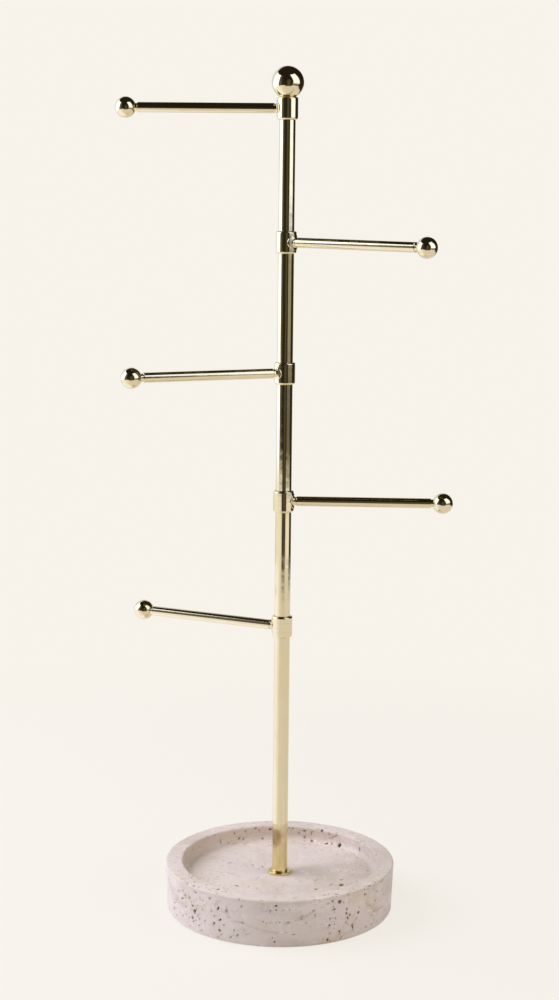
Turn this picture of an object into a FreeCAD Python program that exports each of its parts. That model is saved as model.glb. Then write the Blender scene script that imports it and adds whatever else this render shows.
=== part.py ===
import FreeCAD, Part
import math
import os
import re

import Sketcher

# Jewellery tree: a round stone tray carries a metal post made of five lengths of tube, joined end
# to end by studs. Between each length and the next a collar with a side arm turns on the stud's
# spigot, and a ball closes the top. Millimetres, +Z up, origin at the middle of the underside.

SIZES = {
    # stone tray
    "tray_dia": 120,
    "tray_foot_dia": 118,
    "tray_tall": 24,
    "rim_wide": 9,
    "rim_round": 1,
    "foot_round": 0.8,
    "recess_deep": 7.5,
    "recess_cove": 3,
    "counterbore_dia": 20,
    "counterbore_deep": 7,
    "bolt_hole_dia": 4.6,
    # felt pad under the tray
    "pad_dia": 106,
    "pad_thick": 1,
    # bolt and washer that hold the post down
    "bolt_head_wide": 7,
    "bolt_head_tall": 2.8,
    "bolt_engage": 9,
    "washer_dia": 16,
    "washer_hole_dia": 4.5,
    "washer_thick": 1.2,
    # ring at the foot of the post
    "foot_ring_dia": 12.4,
    "foot_ring_thick": 1.2,
    "foot_ring_round": 0.4,
    # post
    "tube_dia": 8,
    "tube_wall": 0.8,
    "tube_edge": 0.15,
    "insert_long": 10,
    "plug_long": 10,
    "spigot_dia": 6,
    "thread_dia": 4,
    "thread_long": 8,
    "thread_tip": 0.5,
    # collars
    "lowest_arm_high": 151,
    "arm_pitch": 65.5,
    "collar_dia": 10.4,
    "collar_tall": 11,
    "collar_round": 0.9,
    "branch_dia": 8,
    "branch_proud": 0.3,
    "branch_round": 0.15,
    "neck_flare": 0.7,
    "boss_dia": 4.2,
    "boss_long": 0.8,
    # arms, and the balls on their ends
    "arm_dia": 5,
    "arm_reach": 81,
    "arm_taper_long": 0.5,
    "arm_edge": 0.25,
    "arm_thread_dia": 3,
    "arm_thread_long": 2.8,
    "ball_dia": 10.4,
    "neck_dia": 4,
    "neck_long": 0.8,
    "pin_dia": 2.5,
    "pin_long": 6,
    # ball on top of the post
    "finial_dia": 16,
    "finial_seat_dia": 8,
    # clearances
    "run_clear": 0.05,
    "end_play": 0.05,
    "seat_clear": 0.02,
    "hole_spare": 0.6,
}
# Which way each arm points, in degrees from +X, the lowest first.
TURNS = {
    "arm_turn_1": 155.7,
    "arm_turn_2": -2.1,
    "arm_turn_3": 201.7,
    "arm_turn_4": -34.2,
    "arm_turn_5": 174.3,
}
CELLS = {**SIZES, **TURNS}
LEVELS = (1, 2, 3, 4, 5)

# Heights, radii and reaches that pieces share, as formulas in the names above.
TRAY_FLOOR = "(pad_thick + tray_tall - recess_deep)"
POST_FOOT = "(pad_thick + tray_tall - recess_deep + foot_ring_thick)"
WASHER_FOOT = "(pad_thick + counterbore_deep - washer_thick)"
SPIGOT_END = "(collar_tall / 2 + end_play)"
TUBE_BORE = "(tube_dia / 2 - tube_wall)"
PLUG = "(tube_dia / 2 - tube_wall - seat_clear)"
TAPPED = "(thread_dia / 2 + seat_clear)"
BRANCH_END = "(collar_dia / 2 + branch_proud)"
BOSS_END = "(collar_dia / 2 + branch_proud + boss_long)"
ARM_END = "(arm_reach - ball_dia / 2 - neck_long)"

doc = FreeCAD.newDocument("jewellery_tree")
sheet = doc.addObject("Spreadsheet::Sheet", "Sizes")
for row, (alias, number) in enumerate(CELLS.items(), start=1):
    sheet.set("A%d" % row, alias)
    sheet.set("B%d" % row, str(number))
    sheet.setAlias("B%d" % row, alias)
doc.recompute()


def level_height(level):
    """Formula for the height of the middle of a collar."""
    return "(lowest_arm_high + %d * arm_pitch)" % (level - 1)


def bound(formula):
    """The formula as an expression that reads the sheet."""
    return re.sub(r"[a-z]\w*", lambda word: "Sizes." * (word[0] in CELLS) + word[0], formula)


def value(formula):
    """The number that a formula gives."""
    result = sheet.evalExpression(bound(formula))
    return float(getattr(result, "Value", result))


def new_body(name, height="0", turn="0"):
    """An empty body, raised to a height and turned about the post."""
    body = doc.addObject("PartDesign::Body", name)
    body.Label = name
    upright = FreeCAD.Vector(0, 0, 1)
    body.Placement = FreeCAD.Placement(upright * value(height), FreeCAD.Rotation(upright, value(turn)))
    body.setExpression(".Placement.Base.z", bound(height))
    body.setExpression(".Placement.Rotation.Angle", bound(turn) + " * 1 deg")
    return body


def new_sketch(body, name, role="XY_Plane", offset="0"):
    """A sketch on an origin plane of the body, moved out along the plane's normal."""
    plane = next(item for item in body.Origin.OriginFeatures if item.Role == role)
    sketch = body.newObject("Sketcher::SketchObject", body.Name + "_" + name + "_sketch")
    sketch.AttachmentSupport = [(plane, "")]
    sketch.MapMode = "FlatFace"
    sketch.setExpression(".AttachmentOffset.Base.z", bound(offset))
    return sketch


def bind(sketch, formula, kind, *places):
    """Add a dimension to a sketch, tied to the sheet."""
    index = sketch.addConstraint(Sketcher.Constraint(kind, *places, value(formula)))
    sketch.setExpression("Constraints[%d]" % index, bound(formula))


def add_circle(sketch, radius):
    """Draw a circle about the sketch's origin."""
    ring = Part.Circle(FreeCAD.Vector(), FreeCAD.Vector(0, 0, 1), value(radius))
    index = sketch.addGeometry(ring)
    sketch.addConstraint(Sketcher.Constraint("Coincident", index, 3, -1, 1))
    bind(sketch, radius, "Radius", index)


def curve_between(start, end, radius, bulge):
    """The short arc between two points, bulging right of the way for 1 and left of it for -1."""
    chord = end - start
    side = FreeCAD.Vector(chord.y, -chord.x, 0).normalize()
    sagitta = radius - math.sqrt(radius ** 2 - (chord.Length / 2) ** 2)
    middle = (start + end) / 2 + side * bulge * sagitta
    anticlockwise = bulge > 0
    return Part.Arc(start, middle, end) if anticlockwise else Part.Arc(end, middle, start)


def fix_corner(sketch, side, end, corner):
    """Tie a corner's two coordinates to the sheet; one that is nil lies on the sketch's axis."""
    for kind, axis, formula in (("DistanceX", -2, corner[0]), ("DistanceY", -1, corner[1])):
        if formula == "0":
            sketch.addConstraint(Sketcher.Constraint("PointOnObject", side, end, axis))
        else:
            bind(sketch, formula, kind, -1, 1, side, end)


def add_outline(sketch, corners, arcs):
    """Draw a closed outline through corners, which are pairs of formulas.

    arcs gives the radius and the bulge of each side that is round, by the number of its first corner.
    """
    points = [FreeCAD.Vector(value(across), value(up), 0) for across, up in corners]
    count = len(points)
    starts = []
    for side, start in enumerate(points):
        end = points[(side + 1) % count]
        if side in arcs:
            radius, bulge = arcs[side]
            sketch.addGeometry(curve_between(start, end, value(radius), bulge))
            bind(sketch, radius, "Radius", side)
        else:
            sketch.addGeometry(Part.LineSegment(start, end))
        from_start = (sketch.Geometry[side].StartPoint - start).Length < 1e-6
        starts.append(1 if from_start else 2)
    for side in range(count):
        after = (side + 1) % count
        sketch.addConstraint(
            Sketcher.Constraint("Coincident", side, 3 - starts[side], after, starts[after]))
        fix_corner(sketch, side, starts[side], corners[side])


def turn_profile(body, name, corners, arcs=(), kind="Revolution", axis="V_Axis"):
    """Turn a profile in the body's XZ plane about Z, or about X where the axis is H_Axis."""
    sketch = new_sketch(body, name, "XZ_Plane")
    add_outline(sketch, corners, dict(arcs))
    feature = body.newObject("PartDesign::" + kind, body.Name + "_" + name)
    feature.Profile = sketch
    feature.ReferenceAxis = (sketch, [axis])
    feature.Angle = 360
    doc.recompute()
    return feature


def extrude(body, name, sketch, length, kind="Pad"):
    """Pad a sketch along its normal, or cut a pocket against it."""
    feature = body.newObject("PartDesign::" + kind, body.Name + "_" + name)
    feature.Profile = sketch
    feature.setExpression("Length", bound(length))
    doc.recompute()
    return feature


def ease(body, name, find_edges, radius):
    """Round the edges that find_edges picks from the body as it stands."""
    base = body.Tip
    feature = body.newObject("PartDesign::Fillet", body.Name + "_" + name)
    feature.Base = (base, find_edges(base.Shape))
    feature.setExpression("Radius", bound(radius))
    doc.recompute()
    return feature


def hoops(*rings):
    """A finder of circular edges about Z, given as pairs of formulas, radius and height."""
    wanted = [(value(radius), value(height)) for radius, height in rings]

    def find(shape):
        names = []
        for index, edge in enumerate(shape.Edges, start=1):
            if not isinstance(edge.Curve, Part.Circle):
                continue
            centre = edge.Curve.Center
            on_axis = math.hypot(centre.x, centre.y) < 1e-6
            size = (edge.Curve.Radius, centre.z)
            if on_axis and any(math.dist(size, ring) < 1e-6 for ring in wanted):
                names.append("Edge%d" % index)
        return names

    return find


def saddle(across, around):
    """A finder of the edges where a round of one radius about X meets a round of another about Z."""
    wanted = (value(across), value(around))

    def find(shape):
        names = []
        for index, edge in enumerate(shape.Edges, start=1):
            places = edge.discretize(5)
            radii = [(math.hypot(place.y, place.z), math.hypot(place.x, place.y)) for place in places]
            if all(math.dist(pair, wanted) < 1e-3 for pair in radii):
                names.append("Edge%d" % index)
        return names

    return find


def make_tray():
    """Stone tray: tapered outside, shallow round recess with a coved floor, counterbored bolt hole."""
    body = new_body("stone_tray", "pad_thick")
    turn_profile(body, "blank", [
        ("0", "0"),
        ("tray_foot_dia / 2", "0"),
        ("tray_dia / 2", "tray_tall"),
        ("0", "tray_tall"),
    ])
    wall = "tray_dia / 2 - rim_wide"
    mouth = new_sketch(body, "mouth", offset="tray_tall")
    add_circle(mouth, wall)
    extrude(body, "recess", mouth, "recess_deep", "Pocket")
    ease(body, "cove", hoops((wall, "tray_tall - recess_deep")), "recess_cove")
    ease(body, "rim", hoops((wall, "tray_tall"), ("tray_dia / 2", "tray_tall")), "rim_round")
    ease(body, "foot", hoops(("tray_foot_dia / 2", "0")), "foot_round")
    turn_profile(body, "bolt_hole", [
        ("0", "0"),
        ("counterbore_dia / 2", "0"),
        ("counterbore_dia / 2", "counterbore_deep"),
        ("bolt_hole_dia / 2", "counterbore_deep"),
        ("bolt_hole_dia / 2", "tray_tall"),
        ("0", "tray_tall"),
    ], kind="Groove")
    return body


def make_pad():
    """Felt disc that covers the underside of the tray, bolt and all."""
    body = new_body("felt_pad")
    disc = new_sketch(body, "disc")
    add_circle(disc, "pad_dia / 2")
    extrude(body, "sheet", disc, "pad_thick")
    return body


def make_bolt():
    """Hexagon-headed bolt that stands up through the tray into the foot of the post."""
    body = new_body("base_bolt", WASHER_FOOT)
    flats = new_sketch(body, "flats", offset="-bolt_head_tall")
    corner = value("bolt_head_wide") / math.sqrt(3)
    points = [FreeCAD.Vector(corner * math.cos(side * math.pi / 3), corner * math.sin(side * math.pi / 3), 0)
              for side in range(6)]
    for side in range(6):
        flats.addGeometry(Part.LineSegment(points[side], points[(side + 1) % 6]))
    add_circle(flats, "bolt_head_wide / sqrt(3)")
    flats.toggleConstruction(6)
    for side in range(6):
        flats.addConstraint(Sketcher.Constraint("Coincident", side, 2, (side + 1) % 6, 1))
        flats.addConstraint(Sketcher.Constraint("PointOnObject", side, 1, 6))
        if side > 0:
            flats.addConstraint(Sketcher.Constraint("Equal", 0, side))
    flats.addConstraint(Sketcher.Constraint("PointOnObject", 0, 1, -1))
    extrude(body, "head", flats, "bolt_head_tall")
    tip = POST_FOOT + " + bolt_engage - " + WASHER_FOOT
    turn_profile(body, "shank", [
        ("0", "0"),
        ("thread_dia / 2", "0"),
        ("thread_dia / 2", tip + " - thread_tip"),
        ("thread_dia / 2 - thread_tip", tip),
        ("0", tip),
    ])
    return body


def make_washer():
    """Wide flat washer between the bolt's head and the stone."""
    body = new_body("base_washer", WASHER_FOOT)
    rings = new_sketch(body, "rings")
    add_circle(rings, "washer_dia / 2")
    add_circle(rings, "washer_hole_dia / 2")
    extrude(body, "plate", rings, "washer_thick")
    return body


def make_foot_ring():
    """Thin round-edged ring that the post stands on."""
    body = new_body("foot_ring", TRAY_FLOOR)
    rings = new_sketch(body, "rings")
    add_circle(rings, "foot_ring_dia / 2")
    add_circle(rings, "bolt_hole_dia / 2")
    extrude(body, "plate", rings, "foot_ring_thick")
    edges = hoops(("foot_ring_dia / 2", "0"), ("foot_ring_dia / 2", "foot_ring_thick"))
    ease(body, "edge", edges, "foot_ring_round")
    return body


def tube_span(level):
    """Formulas for the foot and the length of the tube below a collar."""
    if level == 1:
        return POST_FOOT, "(%s - %s - %s)" % (level_height(1), SPIGOT_END, POST_FOOT)
    return "(%s + %s)" % (level_height(level - 1), SPIGOT_END), "(arm_pitch - 2 * %s)" % SPIGOT_END


def make_tube(level):
    """Length of tube below a collar, with its outer edges broken."""
    foot, length = tube_span(level)
    body = new_body("post_tube_%d" % level, foot)
    turn_profile(body, "wall", [
        (TUBE_BORE, "0"),
        ("tube_dia / 2 - tube_edge", "0"),
        ("tube_dia / 2", "tube_edge"),
        ("tube_dia / 2", length + " - tube_edge"),
        ("tube_dia / 2 - tube_edge", length),
        (TUBE_BORE, length),
    ])
    return body


def make_insert(level):
    """Tapped bush pressed into the foot of a tube."""
    body = new_body("tube_insert_%d" % level, tube_span(level)[0])
    turn_profile(body, "bush", [
        (TAPPED, "0"),
        (PLUG, "0"),
        (PLUG, "insert_long"),
        (TAPPED, "insert_long"),
    ])
    return body


def make_stud(level):
    """Stud at the head of a tube: pressed plug, plain spigot that the collar turns on, thread."""
    body = new_body("swivel_stud_%d" % level, level_height(level))
    tip = SPIGOT_END + " + thread_long"
    turn_profile(body, "steps", [
        ("0", "-%s - plug_long" % SPIGOT_END),
        (PLUG, "-%s - plug_long" % SPIGOT_END),
        (PLUG, "-" + SPIGOT_END),
        ("spigot_dia / 2", "-" + SPIGOT_END),
        ("spigot_dia / 2", SPIGOT_END),
        ("thread_dia / 2", SPIGOT_END),
        ("thread_dia / 2", tip + " - thread_tip"),
        ("thread_dia / 2 - thread_tip", tip),
        ("0", tip),
    ])
    return body


def make_collar(level):
    """Tee collar that turns on a spigot.

    A thin round saddle lies on its side, and a flared neck rises from that to a boss tapped for the arm.
    """
    body = new_body("collar_%d" % level, level_height(level), "arm_turn_%d" % level)
    turn_profile(body, "blank", [
        ("0", "-collar_tall / 2"),
        ("collar_dia / 2", "-collar_tall / 2"),
        ("collar_dia / 2", "collar_tall / 2"),
        ("0", "collar_tall / 2"),
    ])
    ends = hoops(("collar_dia / 2", "-collar_tall / 2"), ("collar_dia / 2", "collar_tall / 2"))
    ease(body, "ends", ends, "collar_round")
    branch = new_sketch(body, "branch", "YZ_Plane")
    add_circle(branch, "branch_dia / 2")
    extrude(body, "branch", branch, BRANCH_END)
    turn_profile(body, "trim", [
        (BRANCH_END, "-collar_tall / 2"),
        (BRANCH_END + " + branch_dia / 2", "-collar_tall / 2"),
        (BRANCH_END + " + branch_dia / 2", "collar_tall / 2"),
        (BRANCH_END, "collar_tall / 2"),
    ], kind="Groove")
    ease(body, "branch_rim", saddle("branch_dia / 2", BRANCH_END), "branch_round")
    neck = new_sketch(body, "neck", "YZ_Plane")
    add_circle(neck, "boss_dia / 2")
    extrude(body, "neck", neck, BOSS_END)
    ease(body, "flare", saddle("boss_dia / 2", BRANCH_END), "neck_flare")
    bore = new_sketch(body, "bore", offset="collar_tall / 2")
    add_circle(bore, "spigot_dia / 2 + run_clear")
    extrude(body, "bore", bore, "collar_tall", "Pocket")
    tapped = new_sketch(body, "tapped", "YZ_Plane", BOSS_END)
    add_circle(tapped, "arm_thread_dia / 2 + seat_clear")
    extrude(body, "tapped_hole", tapped, BOSS_END + " - spigot_dia / 2", "Pocket")
    return body


def make_arm(level):
    """Side arm: round rod along X with a stud and a taper at the collar, drilled at its far end."""
    body = new_body("arm_%d" % level, level_height(level), "arm_turn_%d" % level)
    hole = "(pin_dia / 2 + seat_clear)"
    hole_end = ARM_END + " - pin_long - hole_spare"
    turn_profile(body, "rod", [
        (BOSS_END + " - arm_thread_long", "0"),
        (BOSS_END + " - arm_thread_long", "arm_thread_dia / 2"),
        (BOSS_END, "arm_thread_dia / 2"),
        (BOSS_END, "boss_dia / 2"),
        (BOSS_END + " + arm_taper_long", "arm_dia / 2"),
        (ARM_END + " - arm_edge", "arm_dia / 2"),
        (ARM_END, "arm_dia / 2 - arm_edge"),
        (ARM_END, hole),
        (hole_end, hole),
        (hole_end, "0"),
    ], axis="H_Axis")
    return body


def make_ball(level):
    """Ball on the end of an arm, with a short neck and a pin that goes into the arm."""
    body = new_body("arm_ball_%d" % level, level_height(level), "arm_turn_%d" % level)
    neck_end = "arm_reach - sqrt((ball_dia / 2) ^ 2 - (neck_dia / 2) ^ 2)"
    turn_profile(body, "ball", [
        (ARM_END + " - pin_long", "0"),
        (ARM_END + " - pin_long", "pin_dia / 2"),
        (ARM_END, "pin_dia / 2"),
        (ARM_END, "neck_dia / 2"),
        (neck_end, "neck_dia / 2"),
        ("arm_reach + ball_dia / 2", "0"),
    ], arcs={4: ("ball_dia / 2", -1)}, axis="H_Axis")
    return body


def make_finial():
    """Ball with a flat seat and a tapped hole, screwed down on the topmost stud."""
    top = LEVELS[-1]
    body = new_body("finial_ball", "%s + %s" % (level_height(top), SPIGOT_END))
    centre = "sqrt((finial_dia / 2) ^ 2 - (finial_seat_dia / 2) ^ 2)"
    turn_profile(body, "ball", [
        (TAPPED, "0"),
        ("finial_seat_dia / 2", "0"),
        ("0", centre + " + finial_dia / 2"),
        ("0", "thread_long + hole_spare"),
        (TAPPED, "thread_long + hole_spare"),
    ], arcs={1: ("finial_dia / 2", 1)})
    return body


def check_document():
    """Stop where an object failed to recompute or a sub-part's shape isn't one sound solid."""
    for item in doc.Objects:
        if {"Invalid", "Error"} & set(item.State):
            raise RuntimeError("%s failed to recompute: %s" % (item.Name, item.State))
    for body in subparts:
        if body.Shape.isNull() or not body.Shape.isValid() or len(body.Shape.Solids) != 1:
            raise RuntimeError("%s isn't one sound solid" % body.Label)


subparts = [make_tray(), make_pad(), make_bolt(), make_washer(), make_foot_ring()]
for level in LEVELS:
    subparts += [make_tube(level), make_insert(level), make_stud(level)]
    subparts += [make_collar(level), make_arm(level), make_ball(level)]
subparts.append(make_finial())
doc.recompute()
check_document()

os.makedirs("parts", exist_ok=True)
for body in subparts:
    body.Shape.exportStep("parts/%s.step" % body.Label)
    print("%-16s %10.2f mm3" % (body.Label, body.Shape.Volume))
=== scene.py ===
"""Looks of the jewellery tree: pale gold metal, travertine tray, felt pad, on a plain pale floor."""

import math

import bmesh
import bpy
import numpy as np
from mathutils import Matrix, Vector


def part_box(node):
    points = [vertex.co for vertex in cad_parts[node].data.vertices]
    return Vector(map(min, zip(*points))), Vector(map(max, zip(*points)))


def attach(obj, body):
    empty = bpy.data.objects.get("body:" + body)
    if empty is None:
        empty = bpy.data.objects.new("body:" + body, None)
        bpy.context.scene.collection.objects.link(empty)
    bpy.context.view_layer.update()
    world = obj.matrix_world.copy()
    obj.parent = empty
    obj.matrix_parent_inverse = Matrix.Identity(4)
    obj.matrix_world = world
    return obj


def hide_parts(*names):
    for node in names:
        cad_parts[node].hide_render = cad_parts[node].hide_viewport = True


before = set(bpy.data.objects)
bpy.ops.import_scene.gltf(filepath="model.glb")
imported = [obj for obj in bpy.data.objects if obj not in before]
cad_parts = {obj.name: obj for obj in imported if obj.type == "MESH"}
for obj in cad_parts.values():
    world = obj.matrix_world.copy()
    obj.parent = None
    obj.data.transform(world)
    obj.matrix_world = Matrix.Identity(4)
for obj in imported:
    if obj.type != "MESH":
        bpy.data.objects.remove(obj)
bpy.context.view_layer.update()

MM = 0.001
CREAM = (0.930, 0.896, 0.831, 1.0)

# Camera, in metres and radians, with the photograph's frame in pixels.
PHOTO_WIDE, PHOTO_TALL = 559, 1000
FOCAL_PX = 1947.93
SENSOR = 36.0
CAMERA_AT = Vector((0.0, -0.97878, 0.38978))
YAW, PITCH, ROLL = -0.0021, 0.1748, 0.0102

# Stone tray, in millimetres. Its outside and its height come from the frame.
RIM_WIDE = 9.0
RIM_ROUND = 1.0
FOOT_ROUND = 0.8
RECESS_DEEP = 7.5
RECESS_COVE = 3.0
WALL_TAPER = 1.0
COUNTERBORE = 10.0
COUNTERBORE_DEEP = 7.0
BOLT_HOLE = 2.3
# The underside is hollowed by a lip's height, so that the stone hides the felt in its hollow.
LIP_TALL = 0.8
FELT_GAP = 1.0

# Pits that the photograph shows: pixel across, pixel down, length and width in millimetres,
# and the lean of the length from the surface's upright in degrees.
SEEN_PITS = (
    (218, 908.5, 2.3, 1, 25), (220, 920, 1.8, 1.1, 35), (219.5, 930.5, 1.5, 1.3, 0),
    (214, 923.5, 2, 0.9, 35), (194.5, 911.5, 2.6, 1.7, 10), (192.5, 917.5, 2.1, 1.3, -10),
    (192.5, 906, 1.4, 1.2, 60), (189.5, 898, 1.8, 1, 30), (185, 895.5, 1.4, 1.1, 0),
    (182.5, 898.5, 1.9, 1, 70), (187.5, 883.5, 1.9, 0.9, -5), (195.5, 892.5, 1.1, 0.9, 80),
    (174.5, 909, 1.3, 1.2, 0), (209.5, 898.5, 1.2, 0.8, 70), (276, 906, 1.6, 0.9, 85),
    (274.5, 942, 1.2, 0.9, 60), (193.5, 921.5, 1.3, 0.8, 0), (340, 902, 2.2, 1.8, 30),
    (334.5, 909.5, 1.3, 1, -40), (347, 909, 1.4, 0.9, 0), (346.5, 913.5, 1.4, 1.2, 0),
    (348, 918, 1.9, 1, -20), (358.5, 912.5, 1.7, 1.4, 20), (352.5, 926.5, 4.4, 0.8, -12),
    (339.5, 931.5, 1.4, 1.1, -30), (327.5, 940, 1.6, 1.1, 10), (329.5, 925.5, 1.3, 1, 50),
    (374, 911.5, 1.3, 1, 0), (365, 894.5, 1.3, 1, 0), (316.5, 889, 2, 2.4, 60),
    (336.5, 894, 2.2, 1.4, 90), (341.5, 879.5, 2, 1.6, 90), (341.5, 884.5, 4.4, 2.4, 88),
    (368, 870.5, 1.3, 1.2, 0), (277, 889, 1.1, 1.2, 0), (237.5, 885.5, 3.4, 1.4, 90),
    (253, 865, 1.6, 1.8, 90), (262.5, 866.5, 1.3, 1.6, 90), (230.5, 862.5, 1.2, 1.3, 90),
    (270, 829.5, 1.9, 1, 85), (304.5, 831, 1.9, 0.9, 85), (322, 830.5, 1.8, 1.4, 0),
    (339.5, 845.5, 1.9, 2.2, 80), (359.5, 849.5, 2.2, 1.2, -10), (357.5, 839, 1.1, 0.9, 60),
)

# Fainter, shallower brown marks that the photograph shows, given as the pits are.
SEEN_MARKS = (
    (180, 870.5, 2.2, 0.8, 90), (193.5, 879, 1.3, 0.8, 20), (183, 890.5, 1.3, 0.9, 0),
    (186, 906.5, 1.8, 0.7, 0), (197.5, 906, 1.2, 0.8, 0), (172, 889.5, 2.4, 0.6, 0),
    (173, 898.5, 1.6, 0.6, 0), (199.5, 919, 1.4, 0.8, 30), (195.5, 920.5, 1.4, 0.8, 20),
    (199, 925.5, 1.3, 0.9, 60), (201.5, 930.5, 1.5, 0.9, 80), (211.5, 911, 1.2, 0.9, 0),
    (218.5, 937, 1.2, 1, 0), (231, 937, 1.5, 0.9, 60), (226.5, 911, 2.4, 1, 15),
    (241.5, 906.5, 1.4, 0.9, 0), (239.5, 899.5, 1.2, 1, 0), (226, 891.5, 2.2, 0.8, 60),
    (217, 893.5, 1.2, 0.8, 40), (207.5, 884.5, 1.6, 0.8, 90), (248.5, 886.5, 1.1, 1, 0),
    (257, 888, 1.3, 0.9, 90), (275, 897, 1.4, 0.9, 0), (220.5, 840.5, 2.6, 0.7, 15),
    (208, 836, 1.3, 0.9, 0), (193, 849.5, 1.3, 0.9, 0), (228.5, 843, 1.2, 0.8, 60),
    (243.5, 839, 1.8, 1.3, 40), (242.5, 827, 2.6, 0.8, 90), (245.5, 831.5, 1.8, 1.2, 20),
    (255.5, 828.5, 1.9, 1.5, 30), (262, 825.5, 1.4, 0.8, 60), (259, 830.5, 1.3, 0.9, 0),
    (247, 843, 1.5, 0.8, 90), (293, 828.5, 1.4, 1, 30), (299, 833, 1.6, 1, 40),
    (311.5, 833.5, 2.4, 0.8, 0), (326.5, 828, 1.4, 0.8, 60), (329, 834.5, 1.6, 1, 30),
    (332.5, 838, 1.3, 0.8, 40), (336, 836, 3.6, 0.8, 40), (354, 831.5, 2, 0.8, 90),
    (360.5, 841.5, 1.7, 0.8, -10), (365.5, 844, 1.8, 0.8, 0), (357.5, 857.5, 1.6, 1, 90),
    (345.5, 854, 1.3, 0.9, 90), (340.5, 871, 1.3, 0.9, 90), (315.5, 880.5, 3.2, 1, 95),
    (331, 884.5, 3.2, 1, 92), (357, 881.5, 2, 0.8, 75), (375.5, 881.5, 1.4, 1.2, 60),
    (382.5, 880.5, 3.6, 1.2, 60), (386.5, 872, 1.2, 0.8, 0), (364.5, 889.5, 1.5, 0.9, 10),
    (382, 889.5, 1.8, 0.8, 0), (386.5, 899.5, 1.3, 0.8, 0), (348.5, 894, 1.8, 1.2, 80),
    (324.5, 895, 2.2, 1, 90), (313.5, 897, 1.2, 1, 60), (295.5, 897.5, 3, 0.8, 90),
    (328, 904, 1.4, 0.8, 60), (333.5, 907, 1.3, 1, 0), (330, 919, 1.5, 1, 30),
    (335.5, 918.5, 1.3, 0.8, 0), (330, 933.5, 1.3, 1, 0), (315, 915.5, 2, 0.8, 0),
    (313.5, 911, 1.4, 0.9, 60), (306, 923, 1.3, 0.9, 0), (301.5, 916.5, 2.2, 0.7, 60),
    (288, 922.5, 2, 0.9, 90), (293.5, 934.5, 2, 0.8, 80), (346, 922.5, 1.6, 1, 20),
    (341.5, 937, 2.8, 0.7, 70), (323, 939, 1.3, 0.9, 0), (242.5, 923, 1.6, 0.9, 80),
    (239, 838.5, 1.9, 1.4, 70), (262.5, 838.5, 1.8, 1.5, 60), (304.5, 837.5, 1.7, 1.5, 0),
    (342.5, 833.5, 1.2, 1.1, 0), (234.5, 833.5, 1.7, 1.2, 0), (177.5, 899.5, 1.2, 0.8, 0),
    (189, 918, 1.3, 0.8, 30), (190, 926, 1.2, 0.8, 60), (198, 915.5, 1.3, 0.8, 20),
    (202.5, 909.5, 1.2, 0.8, 0), (214.5, 916, 1.2, 0.8, 40), (224, 925, 1.3, 0.8, 60),
    (221.5, 934.5, 1.2, 0.8, 80), (180.5, 912.5, 1.2, 0.8, 0), (186, 914, 1.2, 0.8, 0),
    (200, 899, 1.2, 0.8, 0), (205, 921, 1.2, 0.8, 45),
)

# Tan patches in the stone: pixel across, pixel down, radius in millimetres and strength.
SEEN_TAN = (
    (356, 896, 7, 1.0), (366, 893, 6, 0.8), (375, 908, 6, 0.9), (366, 905, 6, 0.7),
    (352, 922, 5, 0.8), (340, 934, 5, 0.9), (330, 941, 5, 0.8), (318, 947, 4, 0.6),
    (300, 931, 9, 0.35), (262, 927, 8, 0.4), (243, 884, 6, 0.6), (257, 880, 6, 0.6),
    (250, 898, 5, 0.3), (316, 882, 8, 0.35), (345, 886, 4, 0.7), (385, 893, 5, 0.5),
    (208, 838, 7, 0.4),
)

# Pale patches in the stone, given as the tan ones are.
SEEN_PALE = (
    (200, 926, 9, 0.35), (230, 934, 9, 0.5), (200, 903, 7, 0.3), (284, 914, 8, 0.45),
    (312, 911, 7, 0.45), (380, 888, 5, 0.4), (286, 900, 8, 0.25),
)

# Faint veins in the stone, each a run of pixels across and down.
SEEN_VEINS = (
    ((226.6, 908), (228, 916), (232.7, 920.5), (242, 923), (250, 927), (262, 930), (277, 933.5)),
    ((232, 886.5), (237, 885.3), (244, 881.5), (249, 880.2)),
    ((215, 905), (221, 899), (224, 896)),
    ((285, 924), (300, 920), (314, 911)),
    ((334, 941), (341, 932), (346, 922), (347, 914)),
    ((336, 886), (345, 886), (352, 883)),
    ((352.5, 931), (353, 923), (356, 918)),
    ((366, 903), (376, 910), (384, 905)),
)


def photo_axes():
    """The camera's right, up and forward directions."""
    flat = math.cos(PITCH)
    forward = Vector((math.sin(YAW) * flat, math.cos(YAW) * flat, -math.sin(PITCH)))
    level = Vector((math.cos(YAW), -math.sin(YAW), 0.0))
    over = level.cross(forward)
    right = math.cos(ROLL) * level + math.sin(ROLL) * over
    up = math.cos(ROLL) * over - math.sin(ROLL) * level
    return right, up, forward


def to_pixels(points):
    """Where points in the frame, as rows in metres, fall in the photograph, and how far away."""
    right, up, forward = (np.array(axis) for axis in photo_axes())
    away = points - np.array(CAMERA_AT)
    depth = away @ forward
    across = PHOTO_WIDE / 2 + FOCAL_PX * (away @ right) / depth
    down = PHOTO_TALL / 2 - FOCAL_PX * (away @ up) / depth
    return across, down, depth


def make_camera():
    """The camera at the photograph's viewing angle."""
    lens = bpy.data.cameras.new("camera")
    lens.sensor_width = SENSOR
    lens.lens = FOCAL_PX * SENSOR / PHOTO_TALL
    camera = bpy.data.objects.new("camera", lens)
    bpy.context.scene.collection.objects.link(camera)
    right, up, forward = photo_axes()
    turned = Matrix((right, up, -forward)).transposed().to_4x4()
    camera.matrix_world = Matrix.Translation(CAMERA_AT) @ turned
    bpy.context.scene.camera = camera


# ---- node materials ----


def join(tree, socket, given):
    """Feed a socket from another node's output, or set its value."""
    if isinstance(given, bpy.types.NodeSocket):
        tree.links.new(given, socket)
    else:
        socket.default_value = given


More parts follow.
